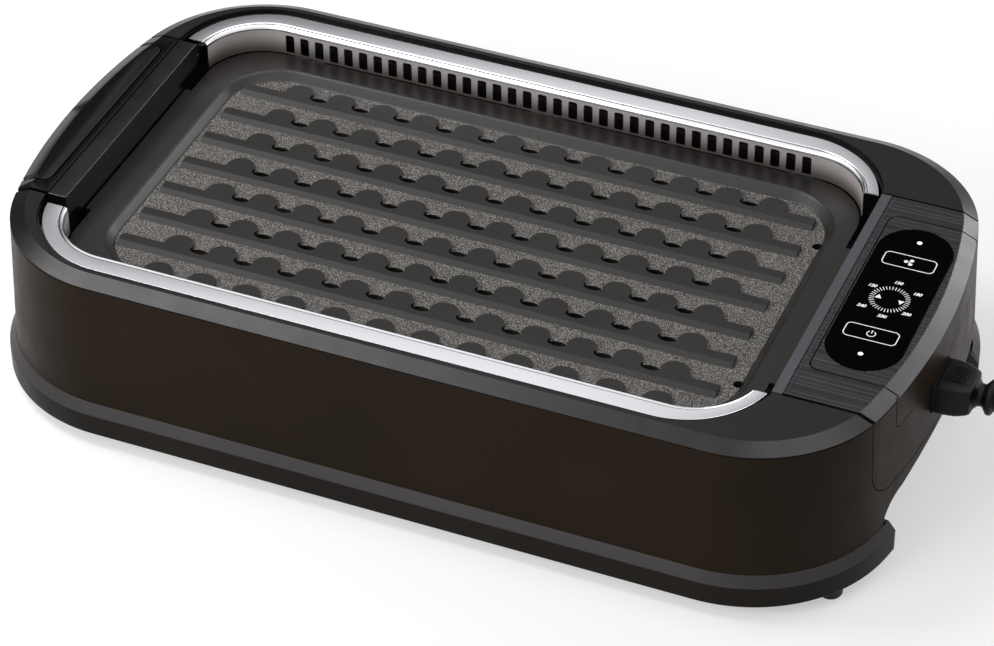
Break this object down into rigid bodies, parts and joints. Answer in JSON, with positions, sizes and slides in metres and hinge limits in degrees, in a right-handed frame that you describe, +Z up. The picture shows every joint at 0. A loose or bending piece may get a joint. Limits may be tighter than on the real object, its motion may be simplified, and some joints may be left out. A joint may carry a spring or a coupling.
{
  "type": "countertop electric grill",
  "caption": "Low countertop electric grill with a lift-out ridged plate, drip tray, smoke fan behind a slotted trim, touch panel and a coiled power lead",
  "frame": {"origin": "centre of the body's plan at the bottom of the feet", "axes": "X is the long way with the control panel and the inlet at +X, Y runs from front to back, Z is up"},
  "size_m": [0.7672, 0.4002, 0.1142],
  "materials": {
    "dark_moulding": "dark grey heat-resistant moulding, fine satin grain",
    "body_plastic": "very dark brown moulding, fine satin grain",
    "rim_plastic": "charcoal moulding, satin",
    "handle_plastic": "charcoal moulding with fine lengthwise grain",
    "stainless_trim": "brushed stainless steel sheet",
    "touch_panel": "gloss black touch panel with printed symbols",
    "light_lens": "clear light lens",
    "plate_coating": "die-cast aluminium with a speckled non-stick coating",
    "tub_steel": "plated steel sheet",
    "tray_steel": "dark non-stick coated steel sheet",
    "element_sheath": "heat-tinted steel sheath",
    "ceramic": "off-white ceramic insulator",
    "contact_brass": "plated brass contacts",
    "zinc_steel": "zinc-plated steel",
    "circuit_board": "green circuit board",
    "component_plastic": "black component plastic",
    "fan_aluminium": "pressed aluminium",
    "wire_insulation": "red silicone wire insulation",
    "foot_rubber": "black rubber",
    "cord_plastic": "black moulded plastic",
    "cord_rubber": "black cord jacket"
  },
  "bodies": {
    "base": {"base_skirt": "dark_moulding", "bottom_cover": "dark_moulding", "cover_screws": "zinc_steel", "feet": "foot_rubber", "post_screws": "zinc_steel", "rim_posts": "dark_moulding", "body_wrap": "body_plastic", "cap_left": "body_plastic", "cap_right": "body_plastic", "top_rim": "rim_plastic", "trim_front": "stainless_trim", "trim_back": "stainless_trim", "strip_left": "handle_plastic", "strip_right": "handle_plastic", "handle_left": "handle_plastic", "grip_left": "handle_plastic", "handle_right": "handle_plastic", "panel_insert": "handle_plastic", "touch_glass": "touch_panel", "touch_board": "circuit_board", "status_lights": "light_lens", "inner_tub": "tub_steel", "smoke_duct": "dark_moulding", "heater_socket": "ceramic", "temp_sensor": "zinc_steel", "power_board": "circuit_board", "board_parts": "component_plastic", "board_brackets": "zinc_steel", "inlet_socket": "component_plastic", "inlet_pins": "contact_brass", "fan_housing": "dark_moulding", "fan_motor": "zinc_steel", "wiring": "wire_insulation", "connector": "cord_plastic", "cord_relief": "cord_plastic", "cord_run": "cord_rubber", "cord_coil": "cord_rubber", "cord_tail": "cord_rubber", "cord_tie": "cord_rubber", "mains_plug": "cord_plastic", "plug_blades": "contact_brass"},
    "plate": {"grill_plate": "plate_coating", "heating_element": "element_sheath", "element_clips": "zinc_steel", "heater_plug": "ceramic", "heater_pins": "contact_brass"},
    "tray": {"drip_tray": "tray_steel"},
    "fan": {"fan_impeller": "fan_aluminium"}
  },
  "joints": [
    {"name": "plate_lift", "type": "slide", "parent": "base", "child": "plate", "axis": [0, 0, 1], "range_m": [0, 0.17]},
    {"name": "tray_lift", "type": "slide", "parent": "base", "child": "tray", "axis": [0, 0, 1], "range_m": [0, 0.085]},
    {"name": "fan_spin", "type": "hinge", "parent": "base", "child": "fan", "pos_m": [-0.02, 0.01, 0.015], "axis": [0, 0, 1], "continuous": true}
  ],
  "couplings": [
    {"joint": "tray_lift", "follows": "plate_lift", "ratio": 0.5}
  ]
}
